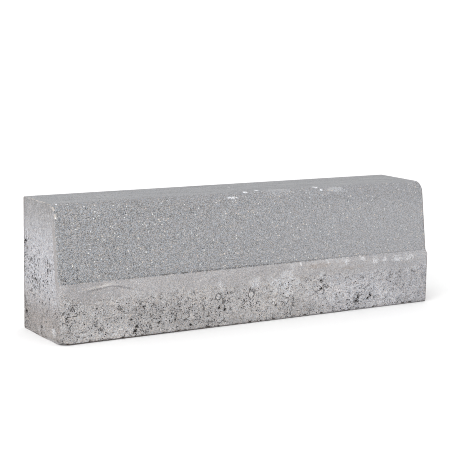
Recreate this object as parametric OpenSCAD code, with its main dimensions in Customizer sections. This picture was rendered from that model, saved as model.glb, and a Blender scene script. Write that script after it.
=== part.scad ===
// Concrete road kerb, pressed as one stone. A coarse plinth goes into the ground, a sloping
// ledge sets the face back, and the smoother upstand has a battered face and a rounded crown.
// X runs along the kerb, -Y looks at the road, +Y at the footway, and Z rises from the bed.

/* [Kerb] */
// Length of one stone along the road
kerb_length = 1000; // [200:5:2000]
// Height from the bed to the top
kerb_height = 300; // [220:1:450]
// Width of the plinth, from the road side to the footway side
base_width = 200; // [120:1:350]

/* [Plinth] */
// Height of the plinth's upright front
plinth_height = 124; // [60:1:190]
// How far the ledge sets the face back
ledge_depth = 8; // [2:0.5:25]
// Rise of the sloping ledge
ledge_rise = 8; // [2:0.5:30]

/* [Upstand] */
// How far the face leans back between the ledge and the top
face_batter = 25; // [2:0.5:50]
// Radius of the crown, where the face turns into the top
crown_radius = 30; // [12:1:60]
// Bevel along the footway edge of the top
back_bevel = 3; // [1:0.5:10]

/* [Ends] */
// Arris round both end faces, along the stone and across it
end_arris = 4; // [1:0.5:8]

/* [Hidden] */
$fn = 96;

half_length = kerb_length / 2;
road_side = -base_width / 2;
footway_side = base_width / 2;
ledge_top = plinth_height + ledge_rise;
face_foot = road_side + ledge_depth;

// Corners of the section, as [across, up]. At face_head the crown is still sharp
bed_road = [road_side, 0];
bed_footway = [footway_side, 0];
plinth_edge = [road_side, plinth_height];
ledge_corner = [face_foot, ledge_top];
face_head = [face_foot + face_batter, kerb_height];
top_corner = [footway_side - back_bevel, kerb_height];
back_corner = [footway_side, kerb_height - back_bevel];

// The crown is an arc that runs out into the face and the top. Its centre lies a hair
// further out than a true touch, so that the arc crosses both
batter_angle = atan(face_batter / (kerb_height - ledge_top));
crown_reach = crown_radius * tan((90 - batter_angle) / 2);
hair = 0.005;
crown_centre = face_head + [crown_reach - hair, hair - crown_radius];

// Cutters pass a corner by this much, so that neighbours meet in a mitre
run_on = 2 * end_arris;
// Cutters stand this much proud of the surfaces that they cut
clear = 1;

// Triangle that takes the arris off: first axis outwards from the edge, second along the stone
function arris_triangle(edge) = [
    [edge - end_arris - clear, half_length + clear],
    [edge + clear, half_length - end_arris - clear],
    [edge + clear, half_length + clear]
];

// Does the same at both ends of the stone
module both_ends() {
    children();
    mirror([0, 0, 1]) children();
}

// Cuts the arris along one side of the section, whose corners run counter-clockwise
module side_arris(from, to) {
    length = norm(to - from);
    along = (to - from) / length;
    both_ends()
        translate(to + run_on * along)
            rotate([0, 0, atan2(-along.x, along.y)])
                rotate([90, 0, 0])
                    linear_extrude(length + 2 * run_on)
                        polygon(arris_triangle(0));
}

// Cuts the arris round the crown
module crown_arris() {
    both_ends()
        translate(crown_centre)
            rotate([0, 0, 90])
                rotate_extrude(angle = 90 - batter_angle)
                    polygon(arris_triangle(crown_radius));
}

// What the crown takes off the sharp corner between the face and the top
module crown_waste() {
    far = 2 * crown_radius;
    translate(crown_centre)
        difference() {
            polygon([[0, 0], [0, far], [-far, far], far * [-cos(batter_angle), sin(batter_angle)]]);
            circle(crown_radius);
        }
}

// Lower part: upright front and sloping ledge, which runs on into the upstand
module plinth() {
    ledge = ledge_corner - plinth_edge;
    ledge_end = ledge_corner + ledge;
    difference() {
        linear_extrude(kerb_length, center = true)
            polygon([bed_road, bed_footway, [footway_side, ledge_end.y], ledge_end, plinth_edge]);
        side_arris(ledge_end, plinth_edge);
    }
}

// Upper part: battered face, crown and top. The face's line runs on through the plinth to the bed
module upstand() {
    face_root = [face_foot - ledge_top * tan(batter_angle), 0];
    difference() {
        linear_extrude(kerb_length, center = true)
            difference() {
                intersection() {
                    polygon([face_root, bed_footway, back_corner, top_corner, face_head]);
                    translate(bed_road) square([base_width, kerb_height]);
                }
                crown_waste();
            }
        side_arris(top_corner, face_head);
        crown_arris();
        side_arris(face_head, face_root);
    }
}

// The whole stone, with the arrises that its two parts share
module kerb_stone() {
    color("#a5a5a7")
        rotate([90, 0, 90])
            difference() {
                union() {
                    plinth();
                    upstand();
                }
                side_arris(plinth_edge, bed_road);
                side_arris(bed_road, bed_footway);
                side_arris(bed_footway, back_corner);
                side_arris(back_corner, top_corner);
            }
}

kerb_stone();
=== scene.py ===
# %% [markdown]
# # A pressed concrete kerb stone
# The frame holds one solid: a road kerb, one metre long, pressed in a steel mould as a single stone.
# This script gives it the skin that the mould and the stiff mix leave behind: a fine grained face, a
# coarse plinth full of small hollows, and worn edges.
# All lengths are in metres. The stone lies along X, its face looks to -Y and Z is up.

from math import pi, radians, sin, tan

import bmesh
import bpy
from mathutils import Euler, Matrix, Vector


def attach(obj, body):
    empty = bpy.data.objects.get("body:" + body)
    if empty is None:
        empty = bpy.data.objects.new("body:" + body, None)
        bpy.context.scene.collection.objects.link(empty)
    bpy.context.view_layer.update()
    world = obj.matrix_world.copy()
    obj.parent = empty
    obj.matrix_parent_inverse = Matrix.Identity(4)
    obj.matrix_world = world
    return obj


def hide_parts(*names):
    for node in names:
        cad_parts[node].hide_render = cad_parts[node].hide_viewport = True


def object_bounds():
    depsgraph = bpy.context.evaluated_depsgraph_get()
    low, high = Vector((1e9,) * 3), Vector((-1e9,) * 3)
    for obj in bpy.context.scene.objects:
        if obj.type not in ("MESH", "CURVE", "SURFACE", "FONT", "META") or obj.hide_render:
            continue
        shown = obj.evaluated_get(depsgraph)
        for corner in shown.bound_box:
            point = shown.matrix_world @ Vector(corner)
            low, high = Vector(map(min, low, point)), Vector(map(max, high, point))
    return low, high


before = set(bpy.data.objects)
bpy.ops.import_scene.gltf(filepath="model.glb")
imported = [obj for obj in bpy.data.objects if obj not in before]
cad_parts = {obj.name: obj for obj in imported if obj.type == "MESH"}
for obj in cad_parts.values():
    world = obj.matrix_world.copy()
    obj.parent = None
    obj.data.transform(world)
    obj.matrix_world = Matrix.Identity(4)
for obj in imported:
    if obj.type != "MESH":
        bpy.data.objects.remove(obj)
cad_low, cad_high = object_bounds()
print("CAD box", [round(v, 4) for v in (*cad_low, *cad_high)])

# %% [markdown]
# ## Camera
# The photo was taken with a long lens from the front left, a little above the stone. Such a camera could
# be aimed by a Track To constraint, but here its heading, its tilt and its slight roll are known, so the
# rotation is written down directly: first tilt, then heading, then a roll about the line of sight.

# %% Camera
CAMERA_PLACE = (-1.6147, -2.6093, 0.709)
HEADING = radians(31.2)
LOOK_DOWN = radians(9.157)
ROLL = radians(0.977)
LENS_MM = 105.1
SENSOR_MM = 36

scene = bpy.context.scene
camera_data = bpy.data.cameras.new("photo_camera")
camera_data.lens = LENS_MM
camera_data.sensor_width = SENSOR_MM
camera_data.dof.use_dof = False
camera = bpy.data.objects.new("photo_camera", camera_data)
aim = Euler((pi / 2 - LOOK_DOWN, 0, -HEADING)).to_matrix() @ Matrix.Rotation(ROLL, 3, "Z")
camera.matrix_world = Matrix.Translation(CAMERA_PLACE) @ aim.to_4x4()
scene.collection.objects.link(camera)
scene.camera = camera
print("camera with a", LENS_MM, "mm lens")

# %% [markdown]
# ## Floor and light
# A shop picture of a kerb is lit so softly that it has hardly any shadow. A white sky and a pale floor
# light the stone from all round, and one broad lamp on the left makes the end the brightest side.
# The Standard view keeps the greys as they are: a film-like view would flatten their contrast. A narrow
# pixel filter, and a denoiser that doesn't smooth its guides first, keep single grains crisp.

# %% Floor and light
FLOOR_HALF = 20
FLOOR_COLOUR = (0.9, 0.9, 0.9)
FLOOR_ROUGHNESS = 0.9
SKY_STRENGTH = 1.15
LAMP_PLACE = Vector((-3.4, -2.4, 2.6))
LAMP_TARGET = Vector((0, 0, 0.15))
LAMP_SIZE = 2.2
LAMP_WATTS = 85
PIXEL_FILTER = 1.0


def plain_material(name, colour, roughness):
    """A material of one colour."""
    made = bpy.data.materials.new(name)
    made.use_nodes = True
    shader = made.node_tree.nodes["Principled BSDF"]
    shader.inputs["Base Color"].default_value = (*colour, 1)
    shader.inputs["Roughness"].default_value = roughness
    return made


corners = [(-FLOOR_HALF, -FLOOR_HALF, 0), (FLOOR_HALF, -FLOOR_HALF, 0),
           (FLOOR_HALF, FLOOR_HALF, 0), (-FLOOR_HALF, FLOOR_HALF, 0)]
floor_mesh = bpy.data.meshes.new("floor")
floor_mesh.from_pydata(corners, [], [(0, 1, 2, 3)])
floor_mesh.materials.append(plain_material("pale_floor", FLOOR_COLOUR, FLOOR_ROUGHNESS))
floor = bpy.data.objects.new("floor", floor_mesh)
scene.collection.objects.link(floor)

world = bpy.data.worlds.new("studio")
world.use_nodes = True
sky = world.node_tree.nodes["Background"]
sky.inputs["Color"].default_value = (1, 1, 1, 1)
sky.inputs["Strength"].default_value = SKY_STRENGTH
scene.world = world

lamp_data = bpy.data.lights.new("broad_lamp", "AREA")
lamp_data.size = LAMP_SIZE
lamp_data.energy = LAMP_WATTS
lamp = bpy.data.objects.new("broad_lamp", lamp_data)
lamp.location = LAMP_PLACE
lamp.rotation_euler = (LAMP_TARGET - LAMP_PLACE).to_track_quat("-Z", "Y").to_euler()
scene.collection.objects.link(lamp)

scene.view_settings.view_transform = "Standard"
scene.cycles.filter_width = PIXEL_FILTER
scene.cycles.denoising_prefilter = "NONE"
print("floor, sky and one lamp of", LAMP_WATTS, "W")

# %% [markdown]
# ## Section of the stone
# A kerb is the same section all along, so its shape starts as one closed line, seen from the left end.
# It could be drawn as a Bezier curve, but the relief needs points at known distances: close together on
# the front, wider apart on the back, the top and the bed. Each corner gets a small radius, because
# green concrete never keeps a sharp edge, and the crown is the same kind of corner with a large radius.

# %% Section of the stone
HALF_LENGTH, HALF_WIDTH, HEIGHT = (round(v, 4) for v in cad_high)
PLINTH_HEIGHT = 0.124
LEDGE = 0.008
BATTER = 0.025
BACK_BEVEL = 0.003
CROWN_RADIUS = 0.030
SOFT_EDGE = 0.003
CRISP_EDGE = 0.002

PLINTH_EDGE = (-HALF_WIDTH, PLINTH_HEIGHT)
LEDGE_CORNER = (LEDGE - HALF_WIDTH, PLINTH_HEIGHT + LEDGE)
FACE_HEAD = (LEDGE_CORNER[0] + BATTER, HEIGHT)
TOP_CORNER = (HALF_WIDTH - BACK_BEVEL, HEIGHT)
BACK_CORNER = (HALF_WIDTH, HEIGHT - BACK_BEVEL)

FRONT_STEP = 0.0024
TOP_STEP = 0.006
BACK_STEP = 0.0036
BED_STEP = 0.008
ARC_STEP = 0.0024

# Corner, its radius, and the distance between points on the side that follows it
SECTION = [
    ((-HALF_WIDTH, 0), SOFT_EDGE, FRONT_STEP),
    (PLINTH_EDGE, SOFT_EDGE, FRONT_STEP),
    (LEDGE_CORNER, CRISP_EDGE, FRONT_STEP),
    (FACE_HEAD, CROWN_RADIUS, TOP_STEP),
    (TOP_CORNER, CRISP_EDGE, TOP_STEP),
    (BACK_CORNER, CRISP_EDGE, BACK_STEP),
    ((HALF_WIDTH, 0), SOFT_EDGE, BED_STEP),
]


def arc_at(before, corner, after, radius):
    """Points of the arc that rounds a corner, from the side before it to the side after it."""
    to_before = (before - corner).normalized()
    to_after = (after - corner).normalized()
    half_angle = to_before.angle(to_after) / 2
    centre = corner + (to_before + to_after).normalized() * radius / sin(half_angle)
    first = corner + to_before * radius / tan(half_angle) - centre
    last = corner + to_after * radius / tan(half_angle) - centre
    turn = first.angle_signed(last)
    count = max(2, round(abs(turn) * radius / ARC_STEP))
    return [centre + Matrix.Rotation(-turn * i / count, 2) @ first for i in range(count + 1)]


def section_points():
    """The closed outline as points in the order road side, top, back, bed."""
    corners_at = [Vector(corner) for corner, _, _ in SECTION]
    total = len(SECTION)
    arcs = [arc_at(corners_at[i - 1], corners_at[i], corners_at[(i + 1) % total], SECTION[i][1])
            for i in range(total)]
    points = []
    for i, arc in enumerate(arcs):
        start, end = arc[-1], arcs[(i + 1) % total][0]
        steps = max(1, round((end - start).length / SECTION[i][2]))
        points += arc[:-1] + [start.lerp(end, j / steps) for j in range(steps)]
    return points


outline = section_points()
section_mesh = bpy.data.meshes.new("section")
section_mesh.from_pydata(
    [(0, across, up) for across, up in outline],
    [(i, (i + 1) % len(outline)) for i in range(len(outline))],
    [],
)
print("section with", len(outline), "points")

# %% [markdown]
# ## Arithmetic in node trees
# Geometry Nodes and shaders share their arithmetic nodes. With helpers that add a node to either kind of
# tree, one recipe can shape the surface and also colour it, so that a hollow in the mesh is dark in the
# same place. The nodes could be set up one by one in the editor, but a few hundred of them are easier to
# read as sums, products and soft steps.

# %% Arithmetic in node trees


def add(tree, kind, inputs=None, **settings):
    """Adds a node, sets its properties, and sets or links the given inputs."""
    made = tree.nodes.new(kind)
    for name, value in settings.items():
        setattr(made, name, value)
    for name, value in (inputs or {}).items():
        if isinstance(value, bpy.types.NodeSocket):
            tree.links.new(value, made.inputs[name])
        else:
            made.inputs[name].default_value = value
    return made


def calc(tree, operation, *values):
    """One step of arithmetic on numbers or sockets."""
    return add(tree, "ShaderNodeMath", dict(enumerate(values)), operation=operation).outputs[0]


def chained(tree, operation, values):
    """The same step of arithmetic from the first value to the last."""
    result = values[0]
    for value in values[1:]:
        result = calc(tree, operation, result, value)
    return result


def product(tree, *values):
    """All the values multiplied."""
    return chained(tree, "MULTIPLY", values)


def total_of(tree, *values):
    """All the values added up."""
    return chained(tree, "ADD", values)


def largest(tree, *values):
    """The largest of the values."""
    return chained(tree, "MAXIMUM", values)


def rest_of(tree, mask):
    """1 where a mask is 0, and 0 where it is 1."""
    return calc(tree, "SUBTRACT", 1.0, mask)


def less(tree, whole, part):
    """One mask without another."""
    return product(tree, whole, rest_of(tree, part))


def between(tree, value, low, high, first, last, **settings):
    """Goes from first to last as the value goes from low to high, in a straight line unless told."""
    ends = {"Value": value, "From Min": low, "From Max": high, "To Min": first, "To Max": last}
    return add(tree, "ShaderNodeMapRange", ends, **settings).outputs[0]


def rise(tree, value, low, high):
    """0 below low, 1 above high, smooth between."""
    return between(tree, value, low, high, 0.0, 1.0, interpolation_type="SMOOTHSTEP")


def fall(tree, value, low, high):
    """1 below low, 0 above high, smooth between."""
    return between(tree, value, low, high, 1.0, 0.0, interpolation_type="SMOOTHSTEP")


def blend(tree, factor, low, high):
    """A number between low and high, for a factor from 0 to 1."""
    return between(tree, factor, 0.0, 1.0, low, high)


def within(tree, value, start, stop):
    """1 between two soft limits: it rises over the first and falls over the second."""
    return product(tree, rise(tree, value, *start), fall(tree, value, *stop))


def weaker(tree, mask, loss):
    """1 outside a mask, and less by the loss inside it."""
    return calc(tree, "MULTIPLY_ADD", mask, -loss, 1.0)


print("arithmetic ready")

# %% [markdown]
# ## Places, noise and groups
# Every pattern on the stone is a number worked out from a place on it. A place can be moved, stretched or
# bent before a noise or a Voronoi texture reads it, and recipes that belong together become one node
# group. Image textures would need an unwrapped mesh, while these fields know the place by themselves.

# %% Places, noise and groups


def axes(tree, place):
    """The place's x, y and z."""
    return add(tree, "ShaderNodeSeparateXYZ", {0: place}).outputs


def joined_axes(tree, x, y, z):
    """A place made of x, y and z."""
    return add(tree, "ShaderNodeCombineXYZ", {0: x, 1: y, 2: z}).outputs[0]


def moved(tree, place, offset):
    """The place shifted by an offset."""
    return add(tree, "ShaderNodeVectorMath", {0: place, 1: offset}, operation="ADD").outputs[0]


def stretched(tree, place, factors):
    """The place scaled by its own factor along each axis."""
    return add(tree, "ShaderNodeVectorMath", {0: place, 1: factors}, operation="MULTIPLY").outputs[0]


def away(tree, place, point):
    """Distance from a point."""
    return add(tree, "ShaderNodeVectorMath", {0: place, 1: point}, operation="DISTANCE").outputs["Value"]


def noise(tree, place, scale, detail=2.0, roughness=0.5):
    """Smooth noise about 0.5. The scale is waves per metre, and detail adds finer waves to them."""
    values = {"Vector": place, "Scale": scale, "Detail": detail, "Roughness": roughness}
    return add(tree, "ShaderNodeTexNoise", values).outputs[0]


def swing(tree, place, scale, **waves):
    """Smooth noise about 0."""
    return calc(tree, "SUBTRACT", noise(tree, place, scale, **waves), 0.5)


def bent(tree, place, scale, amount):
    """The place pushed about by noise, so that cells get uneven borders."""
    push = add(tree, "ShaderNodeTexNoise", {"Vector": place, "Scale": scale, "Detail": 1.0}).outputs["Color"]
    inputs = {0: push, 1: (amount, amount, amount), 2: place}
    return add(tree, "ShaderNodeVectorMath", inputs, operation="MULTIPLY_ADD").outputs[0]


def cells(tree, place, scale):
    """Distance to the centre of the nearest cell, and three numbers drawn for that cell."""
    found = add(tree, "ShaderNodeTexVoronoi", {"Vector": place, "Scale": scale}).outputs
    return found["Distance"], axes(tree, found["Color"])


def border(tree, place, scale):
    """Distance to the nearest border between cells, as a share of a cell."""
    inputs = {"Vector": place, "Scale": scale}
    return add(tree, "ShaderNodeTexVoronoi", inputs, feature="DISTANCE_TO_EDGE").outputs["Distance"]


def both_ways(tree, value):
    """A number from -1 to 1 made of one from 0 to 1."""
    return calc(tree, "MULTIPLY_ADD", value, 2.0, -1.0)


def field_group(name, kind, recipe):
    """A node group of the given kind: a place goes in, and the recipe's named values come out."""
    tree = bpy.data.node_groups.new(name, kind)
    tree.interface.new_socket("Place", in_out="INPUT", socket_type="NodeSocketVector")
    entry = tree.nodes.new("NodeGroupInput")
    leave = tree.nodes.new("NodeGroupOutput")
    for key, value in recipe(tree, entry.outputs["Place"]).items():
        tree.interface.new_socket(key, in_out="OUTPUT", socket_type="NodeSocketFloat")
        tree.links.new(value, leave.inputs[key])
    return tree


def use_group(tree, group, place):
    """Adds a field group to a tree and returns its outputs."""
    kind = "GeometryNodeGroup" if tree.bl_idname == "GeometryNodeTree" else "ShaderNodeGroup"
    node = tree.nodes.new(kind)
    node.node_tree = group
    tree.links.new(place, node.inputs["Place"])
    return node.outputs


print("fields ready")

# %% [markdown]
# ## Zones of the stone
# The press makes the kerb in two layers. The face mix is fine and forms the face, the crown and the top.
# The core mix is coarse and shows on the plinth, the ends and the back. Under the ledge runs a band of
# smooth cement skin with a wavy lower edge. Each zone is a mask worked out from the place on the stone.
# Painting the zones on the points would work too, but only as finely as the points lie.

# %% Zones of the stone
END_SKIN = (HALF_LENGTH - 0.0011, HALF_LENGTH - 0.0002)
BACK_SKIN = (HALF_WIDTH - 0.003, HALF_WIDTH - 0.001)
BED_SKIN = (0.001, 0.003)
FACE_MIX_FROM = (LEDGE_CORNER[1] - 0.001, LEDGE_CORNER[1] + 0.0015)
TOP_FROM = (-0.052, -0.020)
TOP_RAGGED = 0.012
TOP_RAGGED_SCALE = 90
BAND_EDGE = 0.102
BAND_WAVE = 0.032
BAND_WAVE_SCALE = 18
# The band's edge changes along the stone, and hardly up or across it
BAND_STRETCH = (1, 0.2, 0.2)
BAND_FADE = (-0.020, 0.004)
BAND_LEFT = (-0.47, -0.43)
BAND_LEFT_RISE = 0.014


def on_ends(tree, x):
    """1 on both end faces."""
    return rise(tree, calc(tree, "ABSOLUTE", x), *END_SKIN)


def zones(tree, place):
    """Masks of the stone's parts. Each is 1 inside its zone."""
    x, y, z = axes(tree, place)
    end = on_ends(tree, x)
    back = rise(tree, y, *BACK_SKIN)
    bed = fall(tree, z, *BED_SKIN)
    face_mix = rise(tree, z, *FACE_MIX_FROM)
    ragged = swing(tree, place, TOP_RAGGED_SCALE)
    top = rise(tree, calc(tree, "MULTIPLY_ADD", ragged, TOP_RAGGED, y), *TOP_FROM)
    wave = swing(tree, stretched(tree, place, BAND_STRETCH), BAND_WAVE_SCALE, roughness=0.55)
    left_rise = product(tree, fall(tree, x, *BAND_LEFT), BAND_LEFT_RISE)
    edge = total_of(tree, BAND_EDGE, product(tree, wave, BAND_WAVE), left_rise)
    band = rise(tree, calc(tree, "SUBTRACT", z, edge), *BAND_FADE)
    front = product(tree, rest_of(tree, end), rest_of(tree, largest(tree, back, bed)))
    below = rest_of(tree, face_mix)
    return {
        "End": end,
        "Back": back,
        "Face": product(tree, front, face_mix),
        "Top": product(tree, front, face_mix, top),
        "Plinth": product(tree, front, below),
        "Band": product(tree, front, below, band),
        "Left": fall(tree, x, -HALF_LENGTH, HALF_LENGTH),
    }


print("zones: face mix above", round(FACE_MIX_FROM[0], 4), "m")

# %% [markdown]
# ## Marks that stand out
# Most of the skin follows rules, but some marks belong to this one stone and catch the eye: patches where
# small hollows crowd, larger voids, and two pebbles that show in the plinth. They could be scattered by
# chance, but then they would land anywhere. So each is written down in round numbers: its place on the
# side that carries it, and its radius.

# %% Marks that stand out
# Patches where pits crowd on the plinth's front: x, z and radius
PLINTH_PATCHES = [
    (-0.48, 0.065, 0.045), (-0.40, 0.035, 0.04), (-0.36, 0.065, 0.03), (-0.30, 0.03, 0.035),
    (-0.27, 0.055, 0.045), (-0.20, 0.05, 0.045), (-0.13, 0.015, 0.05), (-0.09, 0.06, 0.03),
    (-0.02, 0.055, 0.03), (0.08, 0.035, 0.03), (0.175, 0.07, 0.03), (0.30, 0.03, 0.04),
]
# The same on the left end: y, z and radius
END_PATCHES = [
    (-0.035, 0.16, 0.025), (-0.02, 0.115, 0.035), (0.035, 0.12, 0.045), (0.04, 0.16, 0.03),
    (0.09, 0.155, 0.04), (0.09, 0.20, 0.03), (0.095, 0.04, 0.04),
]
# Voids on the plinth's front: x, z and radius
PLINTH_VOIDS = [
    (-0.48, 0.07, 0.003), (-0.485, 0.06, 0.003), (-0.32, 0.014, 0.008), (-0.315, 0.024, 0.007),
    (-0.33, 0.042, 0.005), (-0.30, 0.067, 0.005), (-0.26, 0.03, 0.005), (-0.22, 0.03, 0.005),
    (-0.18, 0.013, 0.005), (-0.104, 0.045, 0.006), (-0.09, 0.04, 0.005), (0.05, 0.036, 0.004),
    (0.178, 0.082, 0.006), (0.178, 0.063, 0.006), (0.284, 0.022, 0.008), (0.288, 0.032, 0.006),
    (0.326, 0.033, 0.006), (0.318, 0.026, 0.005),
]
# Voids on the left end: y, z and radius
END_VOIDS = [
    (0.034, 0.121, 0.007), (0.05, 0.125, 0.005), (0.088, 0.04, 0.008), (-0.031, 0.064, 0.005),
    (0.003, 0.023, 0.006), (-0.03, 0.155, 0.006), (0.06, 0.165, 0.006), (0.09, 0.20, 0.007),
]
# Pebbles in the plinth's front: x, z and radius
PEBBLES = [(-0.108, 0.071, 0.007), (-0.020, 0.068, 0.008)]


def on_front(marks):
    """Marks given by x, z and radius, with their places on the plinth's front."""
    return [((x, -HALF_WIDTH, z), radius) for x, z, radius in marks]


def on_left_end(marks):
    """Marks given by y, z and radius, with their places on the left end."""
    return [((-HALF_LENGTH, y, z), radius) for y, z, radius in marks]


def spots(tree, place, marks, wobble, ragged, fade):
    """1 inside any of the marks. How ragged its rim is, and its fade, are shares of a mark's radius."""
    inside = 0.0
    for point, radius in marks:
        reach = calc(tree, "MULTIPLY_ADD", wobble, ragged * radius, away(tree, place, point))
        inside = largest(tree, inside, fall(tree, reach, fade[0] * radius, fade[1] * radius))
    return inside


print(len(PLINTH_VOIDS) + len(END_VOIDS), "voids and", len(PEBBLES), "pebbles placed by hand")

# %% [markdown]
# ## Pits and cracks of the core mix
# The core mix is rounded stones in a stiff paste. Where paste is missing there are small dark pits, and
# thin cracks follow the outlines of some stones. Voronoi cells stand for both: in the coarse cells the
# distance to the nearest border makes the cracks, and in the fine cells a number drawn for each cell
# decides whether it holds a pit. Plain noise would give soft smudges instead of crisp pits.
# On the ends the mould draws the hollows out as it is lifted, so there the cells are narrow and tall.

# %% Pits and cracks of the core mix
STONES_PER_METRE = 130
PITS_PER_METRE = 240
CLUSTERS_PER_METRE = 14
# A shift may be any numbers: it only keeps two noises from repeating each other
CLUSTER_SHIFT = (5.9, 4.4, 2.2)
CLUSTER_FROM = (0.42, 0.66)
CLUSTER_MOST = 0.5
PATCH_RAGGED = 2.0
PATCH_FADE = (0.3, 1.1)
PIT_SHARE = (0.05, 0.50)
PIT_DRAWN = (0.0, 0.02)
PIT_SIZE = (0.24, 0.56)
PIT_FADE = (-0.10, 0.04)
RIM_START = (0.0, 0.08)
RIM_STOP = (0.10, 0.32)
LOOSE_SCALE = 75
LOOSE_SHIFT = (3.1, 1.7, 5.3)
LOOSE_FROM = (0.52, 0.64)
JOINT_WIDTH = 0.15
JOINT_OPEN = (0.45, 1.0)
JOINT_FADE = 0.05
# Cells on the ends: more to a metre across, fewer to a metre up
DRAWN_NARROW = 1.4
DRAWN_LONG = 0.8


def drawn_out(tree, place):
    """The place, changed on the ends so that cells there become narrow and tall."""
    x, y, z = axes(tree, place)
    end = on_ends(tree, x)
    drawn_y = product(tree, y, blend(tree, end, 1.0, DRAWN_NARROW))
    drawn_z = product(tree, z, blend(tree, end, 1.0, DRAWN_LONG))
    return joined_axes(tree, x, drawn_y, drawn_z)


def crowding(tree, place):
    """1 where pits crowd, 0 where they are rare."""
    shifted = moved(tree, place, CLUSTER_SHIFT)
    cluster_noise = noise(tree, shifted, CLUSTERS_PER_METRE, detail=3.0, roughness=0.6)
    wobble = calc(tree, "SUBTRACT", cluster_noise, 0.5)
    by_chance = product(tree, rise(tree, cluster_noise, *CLUSTER_FROM), CLUSTER_MOST)
    patches = on_front(PLINTH_PATCHES) + on_left_end(END_PATCHES)
    return largest(tree, by_chance, spots(tree, place, patches, wobble, PATCH_RAGGED, PATCH_FADE))


def pits_and_rims(tree, place, crowded):
    """Small pits in some of the fine cells, and the ring of paste round each."""
    distance, picks = cells(tree, place, PITS_PER_METRE)
    drawn = calc(tree, "SUBTRACT", blend(tree, crowded, *PIT_SHARE), picks[0])
    has_pit = rise(tree, drawn, *PIT_DRAWN)
    outside = calc(tree, "SUBTRACT", distance, blend(tree, picks[1], *PIT_SIZE))
    pits = product(tree, fall(tree, outside, *PIT_FADE), has_pit)
    rims = product(tree, within(tree, outside, RIM_START, RIM_STOP), has_pit)
    return pits, rims


def cracks_round_stones(tree, place, stone_border, crowded):
    """Cracks along the outlines of the stones, where the paste is loose."""
    loose = rise(tree, noise(tree, moved(tree, place, LOOSE_SHIFT), LOOSE_SCALE), *LOOSE_FROM)
    openness = product(tree, loose, blend(tree, crowded, *JOINT_OPEN))
    joint = calc(tree, "SUBTRACT", product(tree, openness, JOINT_WIDTH), stone_border)
    return rise(tree, joint, 0.0, JOINT_FADE)


stone_mm, pit_mm = (round(1000 / count, 1) for count in (STONES_PER_METRE, PITS_PER_METRE))
print("stones about", stone_mm, "mm, pits about", pit_mm, "mm")

# %% [markdown]
# ## All hollows together
# A void is a ragged hole where a stone has dropped out. A pebble is whole, and only a thin broken ring
# of missing paste shows its outline. Both use the distance from a point, pushed about by noise, which is
# simpler than modelling each hole and gives every one a different rim. No pits lie inside a pebble.

# %% All hollows together
VOID_RAGGED = 3.2
VOID_FADE = (0.35, 0.75)
PEBBLE_RAGGED = 0.5
PEBBLE_FADE = (0.8, 1.0)
RING_WIDTH = (0.0006, 0.0020)
RING_BREAK_SCALE = 90
RING_SHIFT = (0.3, 0.8, 0.5)
RING_BREAKS = (0.32, 0.48)
WOBBLE_SCALE = 330
BEND_SCALE = 260
BEND = 0.0024
SUNK_WIDTH = 0.30
SUNK_SHARE = (0.3, 1.0)


def pebble_rings(tree, place, wobble):
    """The broken rings round the pebbles."""
    rings = 0.0
    for point, radius in on_front(PEBBLES):
        reach = calc(tree, "MULTIPLY_ADD", wobble, PEBBLE_RAGGED * radius, away(tree, place, point))
        gap = calc(tree, "ABSOLUTE", calc(tree, "SUBTRACT", reach, radius))
        rings = largest(tree, rings, fall(tree, gap, *RING_WIDTH))
    broken_by = noise(tree, moved(tree, place, RING_SHIFT), RING_BREAK_SCALE, detail=0.0)
    return product(tree, rings, rise(tree, broken_by, *RING_BREAKS))


def hollows(tree, place):
    """Pits, cracks and voids, from 0 on the skin to 1 at the bottom, and the tones of the stones."""
    uneven = bent(tree, drawn_out(tree, place), BEND_SCALE, BEND)
    _, stone_picks = cells(tree, uneven, STONES_PER_METRE)
    stone_border = border(tree, uneven, STONES_PER_METRE)
    crowded = crowding(tree, place)
    pits, rims = pits_and_rims(tree, uneven, crowded)
    cracks = cracks_round_stones(tree, place, stone_border, crowded)
    wobble = swing(tree, place, WOBBLE_SCALE, roughness=0.6)
    inside = spots(tree, place, on_front(PEBBLES), wobble, PEBBLE_RAGGED, PEBBLE_FADE)
    voids = on_front(PLINTH_VOIDS) + on_left_end(END_VOIDS)
    return {
        "Pits": less(tree, pits, inside),
        "Rims": less(tree, rims, inside),
        "Cracks": less(tree, cracks, inside),
        "Rings": pebble_rings(tree, place, wobble),
        "Voids": spots(tree, place, voids, wobble, VOID_RAGGED, VOID_FADE),
        "Pebbles": inside,
        "Sunk": product(tree, fall(tree, stone_border, 0.0, SUNK_WIDTH), blend(tree, crowded, *SUNK_SHARE)),
        "Tone": both_ways(tree, stone_picks[0]),
    }


print("hollows: pits, cracks, voids and rings")

# %% [markdown]
# ## Where the skin is broken
# At the foot of the face the mould leaves a thin broken groove above the ledge, which the material paints
# dark as shade. Near the left end a flake of skin has come off under the ledge: a pale lip with a seam below
# it, along a bent line, and the seam is painted dark as the shadow under the lip. Edges crumble a little,
# along the bed and round the ends, and one bottom corner is knocked off. All are masks like the zones, so
# mesh and material can both use them.

# %% Where the skin is broken
GROOVE_HALF = 0.0018
GROOVE_FLAT = 0.2
GROOVE_UP = 0.0015
GROOVE_RAGGED = 0.006
GROOVE_BREAK_SCALE = 60
GROOVE_BREAKS = (0.36, 0.56)
GROOVE_FADES_RIGHT = (0.05, 0.30)
GROOVE_FADES_LEFT = (-0.40, -0.20)
GROOVE_LEAST_RIGHT = 0.35
GROOVE_LEAST_LEFT = 0.25


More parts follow.
